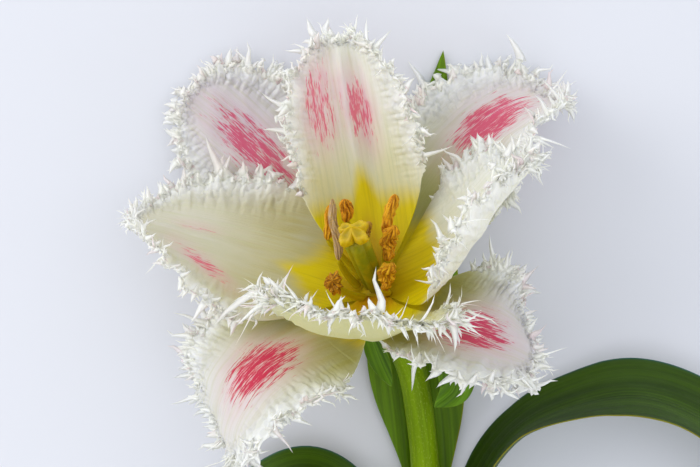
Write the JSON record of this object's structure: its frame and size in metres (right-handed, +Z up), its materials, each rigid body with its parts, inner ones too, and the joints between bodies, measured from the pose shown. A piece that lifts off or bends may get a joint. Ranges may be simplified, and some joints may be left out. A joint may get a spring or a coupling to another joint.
{
  "type": "cut_tulip",
  "caption": "Cut fringed tulip lying flat, with a wide open white flower blotched pink, a yellow heart with stamens and pistil, a plain stem and arching green leaves",
  "frame": {"origin": "Centre of the bounding box in X and Y, on the table surface in Z.", "axes": "+Z is up from the table the cut tulip lies on. +Y runs along the stem from the cut end to the flower. +X is to the right seen from above with the flower at the far end."},
  "size_m": [0.205, 0.3574, 0.0982],
  "materials": {
    "petal": "soft satin, cream white with pink blotches and a yellow base",
    "stem": "smooth waxy yellow green",
    "leaf": "waxy mid green with fine lengthwise veins",
    "ovary": "smooth waxy yellow green",
    "stigma": "matt yellow, finely grainy",
    "filament": "smooth yellow green",
    "anther": "powdery orange brown"
  },
  "bodies": {
    "root": {"anther_1": "anther", "anther_2": "anther", "anther_3": "anther", "anther_4": "anther", "anther_5": "anther", "anther_6": "anther", "anther_7": "anther", "anther_8": "anther", "back_leaf": "leaf", "filament_1": "filament", "filament_2": "filament", "filament_3": "filament", "filament_4": "filament", "filament_5": "filament", "filament_6": "filament", "filament_7": "filament", "filament_8": "filament", "inner_petal_front": "petal", "inner_petal_left": "petal", "inner_petal_right": "petal", "inner_petal_top": "petal", "left_leaf": "leaf", "neck_leaf_left": "leaf", "neck_leaf_right": "leaf", "outer_petal_lower_left": "petal", "outer_petal_lower_right": "petal", "outer_petal_upper_left": "petal", "outer_petal_upper_right": "petal", "ovary": "ovary", "receptacle": "stem", "right_leaf": "leaf", "stem": "stem", "stigma": "stigma"}
  },
  "joints": []
}
